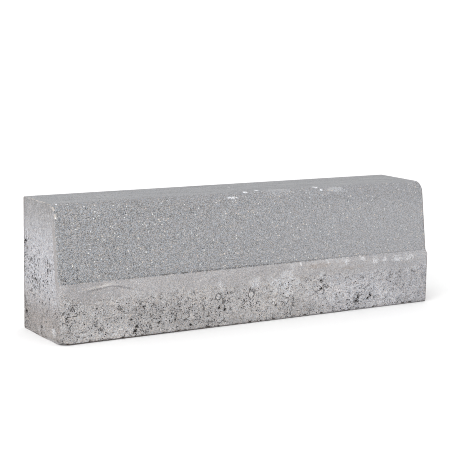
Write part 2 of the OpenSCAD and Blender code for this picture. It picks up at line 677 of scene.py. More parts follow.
def groove_line(tree, place, ragged):
    """The groove above the ledge. It fades to the right and near the left end."""
    x, y, z = axes(tree, place)
    across = calc(tree, "SUBTRACT", y, LEDGE_CORNER[0])
    up = calc(tree, "SUBTRACT", z, LEDGE_CORNER[1] + GROOVE_UP)
    reach = calc(tree, "SQRT", total_of(tree, product(tree, across, across), product(tree, up, up)))
    reach = calc(tree, "MULTIPLY_ADD", ragged, GROOVE_RAGGED, reach)
    line = fall(tree, reach, GROOVE_FLAT * GROOVE_HALF, GROOVE_HALF)
    along_only = stretched(tree, place, (1, 0, 0))
    gaps = noise(tree, along_only, GROOVE_BREAK_SCALE, detail=3.0, roughness=0.6)
    broken = rise(tree, gaps, *GROOVE_BREAKS)
    to_right = blend(tree, fall(tree, x, *GROOVE_FADES_RIGHT), GROOVE_LEAST_RIGHT, 1.0)
    to_left = blend(tree, rise(tree, x, *GROOVE_FADES_LEFT), GROOVE_LEAST_LEFT, 1.0)
    return product(tree, line, broken, to_right, to_left)


print("groove of", 2000 * GROOVE_HALF, "mm at the foot of the face")

# %% [markdown]
# ## Lip, foot and corner
# These losses have no rule, only a place. The lip follows two straight lines that meet in a peak, the
# crumbs along the bed come from noise that counts only near the edge, and the corner is a distance from
# one point. Carving them into the mesh by hand would look as good, but could not be changed by a number.

# %% Lip, foot and corner
RAGGED_SCALE = 260
CRUMB_SCALE = 70
CRUMB_SHIFT = (2.4, 9.1, 0.7)
CRUMB_FROM = (0.47, 0.66)
# The thin line along the bed is painted contact shadow: its height, its strength, and where it grows
# stronger
FOOT_LINE = (0.001, 0.004)
FOOT_LINE_SHARE = (0.4, 0.8)
FOOT_LINE_FADES = (-0.30, 0.10)
FOOT_CRUMBS = (0.002, 0.008)
END_HEAD_FROM = (0.18, 0.27)
END_OPEN = (0.30, 0.90)
ARRIS_REACH = (0.003, 0.008)
CORNER_REACH = (0.004, 0.022)
WORN_FACE_UP = (0.136, 0.160)
WORN_FACE_ALONG = (-0.475, -0.40)
# The lip's bent line under the ledge: x and z
LIP_START = (-0.43, 0.116)
LIP_PEAK = (-0.375, 0.123)
LIP_END = (-0.30, 0.105)
LIP_RAGGED = 0.009
LIP_BELOW = (0.130, 0.133)
LIP_FRONT = (-0.06, -0.04)
# Soft limits of lip and seam, above the bent line and along the stone
LIP_OVER = ((0.0, 0.0015), (0.004, 0.008))
LIP_ALONG = ((-0.455, -0.440), (-0.385, -0.36))
SEAM_OVER = ((-0.0035, -0.002), (-0.001, 0.0005))
SEAM_ALONG = ((-0.44, -0.42), (-0.36, -0.28))


def crumbled_foot(tree, place, crumb):
    """Crumbs missing along the bed's front edge, and a thin line along it that is painted as contact shadow.
    """
    x, y, z = axes(tree, place)
    from_foot = calc(tree, "ADD", z, calc(tree, "ADD", y, HALF_WIDTH))
    stronger_left = blend(tree, fall(tree, x, *FOOT_LINE_FADES), *FOOT_LINE_SHARE)
    line = product(tree, fall(tree, from_foot, *FOOT_LINE), stronger_left)
    return largest(tree, product(tree, fall(tree, from_foot, *FOOT_CRUMBS), crumb), line)


def lip_and_seam(tree, place, ragged):
    """The pale lip of the flaked skin, and the seam below it, which is painted dark as the shadow under the
    lip.
    """
    x, y, z = axes(tree, place)
    rising = between(tree, x, LIP_START[0], LIP_PEAK[0], LIP_START[1], LIP_PEAK[1])
    falling = between(tree, x, LIP_PEAK[0], LIP_END[0], LIP_PEAK[1], LIP_END[1])
    edge = calc(tree, "MINIMUM", rising, falling)
    over = calc(tree, "SUBTRACT", z, calc(tree, "MULTIPLY_ADD", ragged, LIP_RAGGED, edge))
    on_plinth = product(tree, fall(tree, z, *LIP_BELOW), fall(tree, y, *LIP_FRONT))
    lip = product(tree, within(tree, over, *LIP_OVER), within(tree, x, *LIP_ALONG), on_plinth)
    seam = product(tree, within(tree, over, *SEAM_OVER), within(tree, x, *SEAM_ALONG), on_plinth)
    return lip, seam


def breaks(tree, place):
    """How open the ends are, the groove, crumbled and worn edges, and the flaked skin."""
    x, _, z = axes(tree, place)
    ragged = swing(tree, place, RAGGED_SCALE, detail=1.0)
    crumb_noise = noise(tree, moved(tree, place, CRUMB_SHIFT), CRUMB_SCALE, roughness=0.6)
    crumb = rise(tree, crumb_noise, *CRUMB_FROM)
    from_end = calc(tree, "SUBTRACT", HALF_LENGTH, calc(tree, "ABSOLUTE", x))
    from_corner = away(tree, place, (-HALF_LENGTH, -HALF_WIDTH, 0))
    lip, seam = lip_and_seam(tree, place, ragged)
    return {
        "EndShare": blend(tree, fall(tree, z, *END_HEAD_FROM), *END_OPEN),
        "Groove": groove_line(tree, place, ragged),
        "Foot": crumbled_foot(tree, place, crumb),
        "Arris": fall(tree, from_end, *ARRIS_REACH),
        "Crumb": crumb,
        "Corner": fall(tree, from_corner, *CORNER_REACH),
        "WornFace": product(tree, fall(tree, z, *WORN_FACE_UP), fall(tree, x, *WORN_FACE_ALONG)),
        "Lip": lip,
        "Seam": seam,
    }


print("lip from", LIP_START[0], "to", LIP_END[0], "m along the stone")

# %% [markdown]
# ## The stone as a rule
# A kerb is its section carried along a line, which is what Curve to Mesh does. Here the path has one row
# for each ring of points, and the rows are then set in place by their number: first rings that fill the
# end face from its middle outwards, then a few rows that round the arris, then the length, and the same
# again at the other end. So the ends get as many points as the face, and relief can push them in.
# The back and the bed are plain, so there four rows are put in one place and merged, which saves faces
# for the sides with relief. A grid on each side would be simpler, but its seams would have to be closed.

# %% The stone as a rule
HIDDEN_ROWS = 4
BACK_BEYOND = HALF_WIDTH - 0.0015
BACK_BELOW = HEIGHT - 0.004
BED_BEYOND = 0.004 - HALF_WIDTH
BED_BELOW = 0.0015
MERGE_WITHIN = 0.00001
# Any gap will do, because each row is set in place later
ROW_GAP = (0.002, 0, 0)


def named(tree, kind, name):
    """Reads a named attribute."""
    return add(tree, "GeometryNodeInputNamedAttribute", {"Name": name}, data_type=kind).outputs[0]


def stored(tree, geometry, kind, name, value):
    """Keeps a value on every point under a name."""
    inputs = {"Geometry": geometry, "Name": name, "Value": value}
    return add(tree, "GeometryNodeStoreNamedAttribute", inputs, data_type=kind).outputs[0]


def bare_tube(tree, section, row_count):
    """The section carried along a line. Points keep their row's number and their place in the section."""
    line = add(tree, "GeometryNodeMeshLine", {"Count": row_count, "Offset": ROW_GAP}).outputs[0]
    row_number = tree.nodes.new("GeometryNodeInputIndex").outputs[0]
    line = stored(tree, line, "FLOAT", "row", row_number)
    path = add(tree, "GeometryNodeMeshToCurve", {"Mesh": line}).outputs[0]
    spot = tree.nodes.new("GeometryNodeInputPosition").outputs[0]
    section = stored(tree, section, "FLOAT_VECTOR", "section", spot)
    profile = add(tree, "GeometryNodeMeshToCurve", {"Mesh": section}).outputs[0]
    curves = {"Curve": path, "Profile Curve": profile, "Fill Caps": True}
    tube = add(tree, "GeometryNodeCurveToMesh", curves).outputs[0]
    return add(tree, "GeometryNodeFlipFaces", {"Mesh": tube}).outputs[0]


def thinned_row(tree, row, lead, across, up):
    """The row's number, rounded to every fourth row of the length on the back and the bed."""
    on_back = product(tree, calc(tree, "GREATER_THAN", across, BACK_BEYOND),
                      calc(tree, "LESS_THAN", up, BACK_BELOW))
    on_bed = product(tree, calc(tree, "GREATER_THAN", across, BED_BEYOND),
                     calc(tree, "LESS_THAN", up, BED_BELOW))
    counted = total_of(tree, row, calc(tree, "MULTIPLY", lead, -1.0), HIDDEN_ROWS / 2)
    snapped = calc(tree, "ADD", calc(tree, "SNAP", counted, HIDDEN_ROWS), lead)
    change = product(tree, largest(tree, on_back, on_bed), calc(tree, "SUBTRACT", snapped, row))
    return calc(tree, "ADD", row, change)


print("back and bed keep one row in", HIDDEN_ROWS)

# %% [markdown]
# ## Ends and arrises
# The arris is worn only on the road side of the left end, below the crown, and nearly sharp elsewhere.
# A Bevel modifier rounds an edge evenly along its whole length. Here the last rows before an end follow
# a quarter of a flattened round instead, whose width may change from point to point. The rings of the
# end shrink towards an upright line in its middle: one centre point would gather hundreds of thin faces.

# %% Ends and arrises
WORN_ALONG = 0.0035
WORN_ACROSS = 0.010
WORN_ROAD_SIDE = (-0.06, 0.01)
WORN_BELOW = (0.25, 0.285)
SHARP_ARRIS = 0.0005
ARRIS_POWER = 2 / 1.4
MIDDLE_LOW = 0.09
MIDDLE_HIGH = 0.20
INNERMOST = 0.985


def flattened(tree, wave, quarter):
    """The sine or cosine of an angle, with a power that flattens the round."""
    return calc(tree, "POWER", calc(tree, "MAXIMUM", calc(tree, wave, quarter), 0.0), ARRIS_POWER)


def swept(tree, section, sizes):
    """The stone without relief. Its attribute inset is 0 on the sides and nearly 1 at an end's middle."""
    rings, steps = sizes["End Rings"], sizes["Length Steps"]
    lead = calc(tree, "ADD", rings, sizes["Arris Rows"])
    count = total_of(tree, calc(tree, "MULTIPLY", lead, 2.0), steps, 1.0)
    tube = bare_tube(tree, section, count)
    _, across, up = axes(tree, named(tree, "FLOAT_VECTOR", "section"))
    row = named(tree, "FLOAT", "row")
    last = calc(tree, "SUBTRACT", count, 1.0)
    from_end = calc(tree, "MINIMUM", row, calc(tree, "SUBTRACT", last, row))
    side = calc(tree, "SIGN", calc(tree, "SUBTRACT", row, calc(tree, "MULTIPLY", last, 0.5)))

    worn = product(tree, fall(tree, across, *WORN_ROAD_SIDE), fall(tree, up, *WORN_BELOW),
                   fall(tree, side, -1.0, 1.0))
    width = blend(tree, worn, SHARP_ARRIS, WORN_ALONG)
    share = blend(tree, worn, SHARP_ARRIS / HALF_WIDTH, WORN_ACROSS / HALF_WIDTH)
    quarter = between(tree, from_end, rings, lead, 0.0, pi / 2)
    inward = between(tree, from_end, rings, 0.0, share, INNERMOST)
    inward = calc(tree, "SUBTRACT", inward, product(tree, flattened(tree, "SINE", quarter), share))

    straight = calc(tree, "SUBTRACT", calc(tree, "MULTIPLY", sizes["Length"], 0.5), width)
    kept_row = thinned_row(tree, row, lead, across, up)
    run = between(tree, kept_row, lead, calc(tree, "ADD", lead, steps), -1.0, 1.0)
    overhang = product(tree, side, flattened(tree, "COSINE", quarter), width)
    x = calc(tree, "ADD", calc(tree, "MULTIPLY", straight, run), overhang)
    y = product(tree, across, rest_of(tree, inward))
    middle = calc(tree, "MINIMUM", calc(tree, "MAXIMUM", up, MIDDLE_LOW), MIDDLE_HIGH)
    z = calc(tree, "MULTIPLY_ADD", calc(tree, "SUBTRACT", middle, up), inward, up)

    tube = stored(tree, tube, "FLOAT", "inset", inward)
    placed = {"Geometry": tube, "Position": joined_axes(tree, x, y, z)}
    tube = add(tree, "GeometryNodeSetPosition", placed).outputs[0]
    return add(tree, "GeometryNodeMergeByDistance", {"Geometry": tube, "Distance": MERGE_WITHIN}).outputs[0]


print("worn arris", 1000 * WORN_ACROSS, "mm wide on the left end")

# %% [markdown]
# ## Depth of the relief
# Concrete only loses material: hollows, grooves and chips all go inwards, so the stone never grows past
# the size that the CAD gives it. Each kind of loss has its own function and its own depth, and the depths
# are named inputs of the tree, so they can be tried out in the modifier. Pits and cracks are shallow in
# the mesh, because a pit is hardly wider than a face: the material adds the rest as bump.

# %% Depth of the relief
SIZES = {
    "Length": ("NodeSocketFloat", 2 * HALF_LENGTH),
    "Length Steps": ("NodeSocketInt", 388),
    "End Rings": ("NodeSocketInt", 36),
    "Arris Rows": ("NodeSocketInt", 5),
    "Stone Relief": ("NodeSocketFloat", 0.0007),
    "Joint Depth": ("NodeSocketFloat", 0.0030),
    "Groove Depth": ("NodeSocketFloat", 0.0014),
    "Grain Depth": ("NodeSocketFloat", 0.0007),
    "Crumble Depth": ("NodeSocketFloat", 0.0030),
    "Corner Depth": ("NodeSocketFloat", 0.0055),
    "Seed": ("NodeSocketFloat", 4.0),
}
SMALL_HOLLOW = 0.25
THIN_SEAM = 0.4
GRAIN_SCALE = 330
FACE_GRAIN = 0.8
END_GRAIN = 0.6
TOP_GRAIN_LOSS = 0.7
BAND_GRAIN_LOSS = 0.6
UNEVEN_SCALE = 22
UNEVEN_DEPTH = 0.0012
ARRIS_CHIP = 0.0008


def hollow_depth(tree, zone, hollow, broken, sizes):
    """Depth of the core mix's hollows and of the marks that stand out."""
    open_plinth = less(tree, zone["Plinth"], zone["Band"])
    share = total_of(tree, open_plinth, product(tree, zone["End"], broken["EndShare"]))
    sunk = product(tree, hollow["Sunk"], share, sizes["Stone Relief"])
    cracks = product(tree, hollow["Cracks"], share, SMALL_HOLLOW)
    pits = product(tree, hollow["Pits"], share, SMALL_HOLLOW)
    seams = product(tree, largest(tree, hollow["Rings"], broken["Seam"]), THIN_SEAM)
    holes = largest(tree, cracks, pits, seams, hollow["Voids"])
    return total_of(tree, sunk, product(tree, holes, sizes["Joint Depth"]))


def grain_depth(tree, place, zone, sizes):
    """Depth of the grain, which is finer on the top and on the band under the ledge."""
    on_face = product(tree, zone["Face"], weaker(tree, zone["Top"], TOP_GRAIN_LOSS), FACE_GRAIN)
    on_plinth = product(tree, zone["Plinth"], weaker(tree, zone["Band"], BAND_GRAIN_LOSS))
    share = total_of(tree, on_face, on_plinth, product(tree, zone["End"], END_GRAIN))
    return product(tree, noise(tree, place, GRAIN_SCALE, detail=1.0), share, sizes["Grain Depth"])


def edge_depth(tree, zone, broken, sizes):
    """Depth of what has crumbled off the edges and the corner."""
    chips = product(tree, less(tree, broken["Arris"], zone["End"]), broken["Crumb"], ARRIS_CHIP)
    foot = product(tree, broken["Foot"], sizes["Crumble Depth"])
    return total_of(tree, foot, chips, product(tree, broken["Corner"], sizes["Corner Depth"]))


print("tree inputs:", ", ".join(SIZES))

# %% [markdown]
# ## The finished tree
# The tree takes the section in and gives the stone out. Displace in a material could push the points too,
# but then the exported mesh would be smooth. The place of each point before the relief is kept as the
# attribute mould, because the material reads the same fields from it. Relief fades out at the innermost
# ring of each end, where the points lie too close together for it.

# %% The finished tree
CALM_MIDDLE = 0.96


def kerb_tree(material):
    """Geometry Nodes tree: section in, finished stone out."""
    tree = bpy.data.node_groups.new("Pressed Kerb", "GeometryNodeTree")
    tree.interface.new_socket("Section", in_out="INPUT", socket_type="NodeSocketGeometry")
    for name, (kind, _) in SIZES.items():
        tree.interface.new_socket(name, in_out="INPUT", socket_type=kind)
    tree.interface.new_socket("Stone", in_out="OUTPUT", socket_type="NodeSocketGeometry")
    sizes = tree.nodes.new("NodeGroupInput").outputs
    leave = tree.nodes.new("NodeGroupOutput")

    smooth = swept(tree, sizes["Section"], sizes)
    spot = tree.nodes.new("GeometryNodeInputPosition").outputs[0]
    kept = stored(tree, smooth, "FLOAT_VECTOR", "mould", spot)
    place = named(tree, "FLOAT_VECTOR", "mould")
    zone = use_group(tree, field_group("Zones of the mesh", "GeometryNodeTree", zones), place)
    hollow = use_group(tree, field_group("Hollows of the mesh", "GeometryNodeTree", hollows), place)
    broken = use_group(tree, field_group("Breaks of the mesh", "GeometryNodeTree", breaks), place)

    seeded = moved(tree, place, joined_axes(tree, sizes["Seed"], sizes["Seed"], 0.0))
    groove = product(tree, less(tree, broken["Groove"], zone["End"]), sizes["Groove Depth"])
    uneven = product(tree, noise(tree, seeded, UNEVEN_SCALE), zone["Plinth"], UNEVEN_DEPTH)
    depth = total_of(tree, hollow_depth(tree, zone, hollow, broken, sizes), groove,
                     grain_depth(tree, seeded, zone, sizes), uneven, edge_depth(tree, zone, broken, sizes))
    depth = product(tree, depth, fall(tree, named(tree, "FLOAT", "inset"), CALM_MIDDLE, INNERMOST))

    outward = tree.nodes.new("GeometryNodeInputNormal").outputs[0]
    push = {0: outward, "Scale": calc(tree, "MULTIPLY", depth, -1.0)}
    offset = add(tree, "ShaderNodeVectorMath", push, operation="SCALE").outputs[0]
    carved = add(tree, "GeometryNodeSetPosition", {"Geometry": kept, "Offset": offset}).outputs[0]
    for name in ("row", "section"):
        carved = add(tree, "GeometryNodeRemoveAttribute", {"Geometry": carved, "Name": name}).outputs[0]
    for domain in ("EDGE", "FACE"):
        carved = add(tree, "GeometryNodeSetShadeSmooth", {"Geometry": carved}, domain=domain).outputs[0]
    solid = add(tree, "GeometryNodeRealizeInstances", {"Geometry": carved}).outputs[0]
    done = add(tree, "GeometryNodeSetMaterial", {"Geometry": solid, "Material": material}).outputs[0]
    tree.links.new(done, leave.inputs["Stone"])
    return tree


print("relief fades from", CALM_MIDDLE, "to", INNERMOST, "of the way to an end's middle")

# %% [markdown]
# ## Sand and grit
# Concrete is cement paste with sand in it. In the face mix single grains show: light, dark, some warm and
# some cool, each one or two millimetres wide, and now and then a larger white or cream one. Voronoi
# cells give every grain a tone of its own, which plain noise can't.

# %% Sand and grit
SAND_PER_METRE = 760
GRIT_PER_METRE = 230
GRIT_CORE = (0.28, 0.42)
# Of the numbers drawn for the grains, those past these limits make the rare ones
DARK_SAND = (0.03, 0.06)
WHITE_GRIT = (0.955, 0.970)
CREAM_GRIT = (0.960, 0.975)
DARK_GRIT = (0.015, 0.030)
BEAD_TOP = 0.6


def sand_tones(tree, place):
    """Tone and warmth of each sand grain from -1 to 1, and the rare bright and dark ones."""
    distance, picks = cells(tree, place, SAND_PER_METRE)
    grit_distance, grit_picks = cells(tree, place, GRIT_PER_METRE)
    core = fall(tree, grit_distance, *GRIT_CORE)
    return {
        "Tone": both_ways(tree, picks[0]),
        "Warm": both_ways(tree, picks[1]),
        "Dark": fall(tree, picks[2], *DARK_SAND),
        "White": product(tree, core, rise(tree, grit_picks[0], *WHITE_GRIT)),
        "Cream": product(tree, core, rise(tree, grit_picks[1], *CREAM_GRIT)),
        "Speck": product(tree, core, fall(tree, grit_picks[2], *DARK_GRIT)),
        "Pebbly": both_ways(tree, grit_picks[2]),
        "Height": calc(tree, "SUBTRACT", BEAD_TOP, distance),
    }


print("sand about", round(1000 / SAND_PER_METRE, 1), "mm, grit about", round(1000 / GRIT_PER_METRE, 1), "mm")

# %% [markdown]
# ## Stains, lime and flecks
# The core mix is blotchy, lime has bled out in whitish patches, the ledge carries pale smears, and a few
# white flecks lie on the crown. Noise gives the mottling. The marks that catch the eye are listed again,
# as ovals with ragged rims. Painting them on a texture would work too, but only for one unwrapping.

# %% Stains, lime and flecks
# Whitish patches on the plinth's front: x, z and radius
LIME_PATCHES = [
    (0.07, 0.083, 0.045), (-0.006, 0.097, 0.02), (-0.104, 0.098, 0.010), (0.178, 0.095, 0.012),
]
# Whitish smears on the ledge and just below it: x, z and half length
LEDGE_SMEARS = [
    (0.118, 0.130, 0.004), (0.197, 0.130, 0.004), (0.250, 0.126, 0.013), (0.300, 0.128, 0.008),
    (0.337, 0.117, 0.011), (0.366, 0.119, 0.007), (0.405, 0.117, 0.018), (0.440, 0.119, 0.016),
]
# Areas made darker or lighter than their surroundings: place, half length, half height, change of tone
SHADES = [
    ((-0.44, -0.10, 0.115), 0.08, 0.06, -0.15), ((-0.27, -0.10, 0.055), 0.15, 0.05, -0.11),
    ((0.42, -0.10, 0.078), 0.09, 0.05, -0.14), ((0.00, -0.10, 0.042), 0.10, 0.045, 0.14),
    ((0.20, -0.10, 0.050), 0.11, 0.035, 0.18), ((-0.37, -0.10, 0.010), 0.13, 0.035, 0.22),
    ((0.37, -0.10, 0.020), 0.06, 0.04, 0.12), ((0.20, -0.096, 0.130), 0.12, 0.03, 0.14),
    # Painted light: this lighter area at the foot of the left end evens out the shade near the floor
    ((-0.50, -0.04, 0.015), 0.05, 0.05, 0.12),
]
# White flecks and faint smears, most of them on the crown: place, half length, half width and strength
FLECKS = [
    ((-0.054, -0.062, 0.2915), 0.020, 0.004, 0.55), ((-0.009, -0.046, 0.2995), 0.008, 0.009, 0.9),
    ((0.030, -0.032, 0.300), 0.005, 0.009, 0.9), ((0.192, -0.040, 0.300), 0.009, 0.009, 0.9),
    ((0.198, -0.058, 0.2945), 0.004, 0.005, 0.8), ((-0.001, 0.042, 0.300), 0.002, 0.008, 0.7),
    ((0.080, -0.046, 0.2995), 0.045, 0.020, 0.10), ((0.240, -0.058, 0.295), 0.030, 0.012, 0.16),
    ((-0.497, -0.072, 0.274), 0.003, 0.003, 1.0), ((-0.485, -0.044, 0.300), 0.003, 0.006, 0.8),
    ((-0.500, -0.066, 0.024), 0.010, 0.012, 0.35),
]

print(len(FLECKS), "flecks,", len(LEDGE_SMEARS), "smears and", len(SHADES), "shades placed by hand")

# %% [markdown]
# ## Blotches as fields
# Mottling, streaks and clouds are one kind of noise in other sizes, pulled upright for the streaks on the
# ends and lengthwise for the clouds on the top. A mark that is longer than high is an oval: its distance
# is counted in its own half length and half height, so one soft step at 1 draws its rim. Separate planes
# with a texture would be another way, but they would float on the relief.

# %% Blotches as fields
WOBBLE_WIDE = 60
WOBBLE_FINE = 170
MOTTLE_SCALE = 26
STREAK_SCALE = 110
CLOUD_SCALE = 45
UPRIGHT = (1, 1, 0.3)
LENGTHWISE = (0.25, 1, 1)
MOTTLE_SHIFT = (4.3, 0.4, 1.9)
LIME_SCALE = 20
LIME_SHIFT = (0.9, 6.2, 3.3)
LIME_FROM = (0.56, 0.76)
LIME_MOST = 0.6
LIME_RAGGED = 3.0
LIME_FADE = (0.3, 1.0)
SMEAR_HEIGHT = 0.009
SMEAR_RAGGED = 3.2
SMEAR_FADE = (0.4, 1.0)
FLECK_RAGGED = 1.6
FLECK_FADE = (0.6, 1.0)
SHADE_FADE = (0.2, 1.0)


def oval(tree, place, point, half_length, half_height, wobble, ragged=1.0):
    """Distance from a point, counted so that it is about 1 on the ragged rim of an oval."""
    from_point = moved(tree, place, [-v for v in point])
    share = stretched(tree, from_point, (1 / half_length, 1 / half_height, 1 / half_height))
    return calc(tree, "MULTIPLY_ADD", wobble, ragged, away(tree, share, (0, 0, 0)))


def ledge_smears(tree, place, wobble):
    """The smears on the ledge, which slopes back as it rises."""
    smears = 0.0
    for along, up, length in LEDGE_SMEARS:
        across = max(0, up - PLINTH_HEIGHT) - HALF_WIDTH
        reach = oval(tree, place, (along, across, up), length, SMEAR_HEIGHT, wobble, SMEAR_RAGGED)
        smears = largest(tree, smears, fall(tree, reach, *SMEAR_FADE))
    return smears


def crown_flecks(tree, place, wobble):
    """White flecks and faint smears, each with its own strength."""
    flecks = 0.0
    for point, length, width, strength in FLECKS:
        reach = oval(tree, place, point, length, width, wobble, FLECK_RAGGED)
        flecks = largest(tree, flecks, product(tree, fall(tree, reach, *FLECK_FADE), strength))
    return flecks


def tone_patches(tree, place, wobble):
    """A factor about 1 that makes areas darker or lighter."""
    shade = 1.0
    for point, length, height, change in SHADES:
        reach = oval(tree, place, point, length, height, wobble)
        shade = calc(tree, "MULTIPLY_ADD", fall(tree, reach, *SHADE_FADE), change, shade)
    return shade


def blotches(tree, place):
    """Slow changes of tone: mottling, whitish lime, upright streaks, long clouds, flecks and shades."""
    wobble = swing(tree, place, WOBBLE_WIDE, detail=3.0)
    fine_wobble = swing(tree, place, WOBBLE_FINE)
    mottle = noise(tree, moved(tree, place, MOTTLE_SHIFT), MOTTLE_SCALE, detail=3.0, roughness=0.6)
    streak = noise(tree, stretched(tree, place, UPRIGHT), STREAK_SCALE, roughness=0.6)
    cloud = noise(tree, stretched(tree, place, LENGTHWISE), CLOUD_SCALE, detail=3.0, roughness=0.6)
    lime_noise = noise(tree, moved(tree, place, LIME_SHIFT), LIME_SCALE, detail=3.0, roughness=0.6)
    lime = product(tree, rise(tree, lime_noise, *LIME_FROM), LIME_MOST)
    patches = spots(tree, place, on_front(LIME_PATCHES), wobble, LIME_RAGGED, LIME_FADE)
    return {
        "Mottle": mottle,
        "Lime": largest(tree, lime, patches),
        "Streak": streak,
        "Cloud": cloud,
        "Fleck": crown_flecks(tree, place, fine_wobble),
        "Shade": tone_patches(tree, place, wobble),
        "Smears": ledge_smears(tree, place, fine_wobble),
    }


print("smears", 2000 * SMEAR_HEIGHT, "mm high")

# %% [markdown]
# ## One material for the whole stone
# Face mix and core mix are pressed together while wet, so there is one material and the zones pass into
# each other. Two materials would meet in a hard line. The groups give only values, and the material
# turns them into colour: first the tone of each zone, then grains, worn edges and hollows.

# %% One material for the whole stone
ROUGHNESS = 0.92
SHINE = 0.25
# The Mix node has sockets for numbers, vectors and colours. These are the places of its colour sockets.
MIX_FIRST = 6
MIX_SECOND = 7
MIX_RESULT = 2


def tint(tree, factor, first, second):
    """A colour between two colours."""
    inputs = {0: factor}
    for index, colour in ((MIX_FIRST, first), (MIX_SECOND, second)):
        inputs[index] = colour if isinstance(colour, bpy.types.NodeSocket) else (*colour, 1)
    return add(tree, "ShaderNodeMix", inputs, data_type="RGBA").outputs[MIX_RESULT]


def scaled(tree, colour, red, green, blue):
    """A colour with each channel times a number."""
    factors = add(tree, "ShaderNodeCombineColor", {0: red, 1: green, 2: blue}).outputs[0]
    inputs = {0: 1.0, MIX_FIRST: colour, MIX_SECOND: factors}
    return add(tree, "ShaderNodeMix", inputs, data_type="RGBA", blend_type="MULTIPLY").outputs[MIX_RESULT]


def brightened(tree, colour, factor):
    """A colour times a number."""
    return scaled(tree, colour, factor, factor, factor)


concrete = bpy.data.materials.new("kerb_concrete_skin")
concrete.use_nodes = True
nodes = concrete.node_tree
shader = nodes.nodes["Principled BSDF"]
shader.inputs["Roughness"].default_value = ROUGHNESS
shader.inputs["Specular IOR Level"].default_value = SHINE
place = add(nodes, "ShaderNodeAttribute", attribute_name="mould").outputs["Vector"]
inset = add(nodes, "ShaderNodeAttribute", attribute_name="inset").outputs["Fac"]
zone = use_group(nodes, field_group("Zones", "ShaderNodeTree", zones), place)
hollow = use_group(nodes, field_group("Hollows", "ShaderNodeTree", hollows), place)
broken = use_group(nodes, field_group("Breaks", "ShaderNodeTree", breaks), place)
sand = use_group(nodes, field_group("Sand", "ShaderNodeTree", sand_tones), place)
blotch = use_group(nodes, field_group("Blotches", "ShaderNodeTree", blotches), place)
along_x, across_y, height_up = axes(nodes, place)
print("material reads five groups of fields")

# %% [markdown]
# ## Colour of the core mix
# The plinth is a warm grey on the left and turns cooler to the right. It is a little darker near the bed
# and near its ends. The band under the ledge is smoother and evener, with long brown stains in its middle.
# Lime comes last, because it lies on top. A single grey with noise would miss these slow drifts.

# %% Colour of the core mix
CORE_BROWN = (0.352, 0.340, 0.338)
CORE_LILAC = (0.394, 0.389, 0.405)
BAND_GREY = (0.338, 0.328, 0.331)
BAND_LILAC = (0.338, 0.334, 0.344)
BAND_BROWN = (0.310, 0.285, 0.272)
LIP_BEIGE = (0.440, 0.420, 0.410)
LIME_WHITE = (0.534, 0.534, 0.552)

# Where along the stone, or how high up, a tone changes
CORE_TURNS = (0.05, 0.30)
BAND_TURNS = (0.20, 0.40)
CORE_RISE = (0.01, 0.10)
NEAR_LEFT = (-0.49, -0.44)
NEAR_RIGHT = (0.40, 0.49)
STAIN_ALONG = ((-0.05, 0.12), (0.26, 0.36))
STAIN_BELOW = (0.122, 0.128)
STAIN_FROM = (0.50, 0.68)
# How strongly it changes
CORE_RISE_TONE = (0.92, 1.04)
NEAR_LEFT_SHARE = 0.5
NEAR_ENDS_TONE = 0.90
CORE_STONE_TONE = 0.12
MOTTLE_TONE = (0.82, 1.18)
LIP_STRENGTH = 0.9
LIME_SPECKLE = (0.45, 0.75)
SMEAR_STRENGTH = 0.75
PEBBLE_PALE = 0.3

core = tint(nodes, rise(nodes, along_x, *CORE_TURNS), CORE_BROWN, CORE_LILAC)
core = brightened(nodes, core, between(nodes, height_up, *CORE_RISE, *CORE_RISE_TONE))
near_left = product(nodes, fall(nodes, along_x, *NEAR_LEFT), NEAR_LEFT_SHARE)
near_ends = largest(nodes, rise(nodes, along_x, *NEAR_RIGHT), near_left)
core = brightened(nodes, core, blend(nodes, near_ends, 1.0, NEAR_ENDS_TONE))
core = brightened(nodes, core, calc(nodes, "MULTIPLY_ADD", hollow["Tone"], CORE_STONE_TONE, 1.0))

stain = product(nodes, rise(nodes, blotch["Cloud"], *STAIN_FROM), within(nodes, along_x, *STAIN_ALONG),
                fall(nodes, height_up, *STAIN_BELOW))
band = tint(nodes, rise(nodes, along_x, *BAND_TURNS), BAND_GREY, BAND_LILAC)
band = tint(nodes, stain, band, BAND_BROWN)
core = tint(nodes, zone["Band"], core, band)
core = tint(nodes, product(nodes, broken["Lip"], LIP_STRENGTH), core, LIP_BEIGE)
core = brightened(nodes, core, blend(nodes, blotch["Mottle"], *MOTTLE_TONE))
core = brightened(nodes, core, blotch["Shade"])

speckled_lime = product(nodes, blotch["Lime"], blend(nodes, sand["Pebbly"], *LIME_SPECKLE))
core = tint(nodes, speckled_lime, core, LIME_WHITE)
core = tint(nodes, product(nodes, blotch["Smears"], SMEAR_STRENGTH), core, LIME_WHITE)
core = tint(nodes, product(nodes, hollow["Pebbles"], PEBBLE_PALE), core, LIME_WHITE)
print("core mix from", CORE_BROWN, "to", CORE_LILAC)

# %% [markdown]
# ## Colour of the face and the ends
# The face is a cool grey that gets lighter to the right, with a slightly darker crown and a clouded top.
# An end is palest in its middle, browner and darker at the foot where it stands in the damp, and darker
# at the head. Upright streaks run down it. A Color Ramp could hold such tones in one node, but with soft
# steps each height, and each place along the stone, keeps a name of its own.

# %% Colour of the face and the ends
FACE_LEFT = (0.259, 0.260, 0.267)
FACE_RIGHT = (0.302, 0.303, 0.314)
TOP_GREY = (0.280, 0.283, 0.292)
END_GREY = (0.410, 0.406, 0.426)
END_HEAD = (0.270, 0.264, 0.265)
END_BROWN = (0.280, 0.261, 0.253)
FLECK_WHITE = (0.740, 0.750, 0.780)

CROWN_RISE = (0.245, 0.285)
CROWN_ALONG = (-0.42, -0.34)
CROWN_CHANGE = (-0.05, -0.10)
CROWN_CHANGE_ALONG = (0.15, 0.35)
TOP_CLOUDS = 0.5
END_HEAD_RISE = (0.190, 0.310)
END_FOOT_RISE = (0.035, 0.130)
END_BACK = (0.070, 0.100)
END_BACK_TONE = 0.92
END_STREAK_TONE = (0.84, 1.16)
END_STONE_TONE = 0.10
END_LIME = 0.5

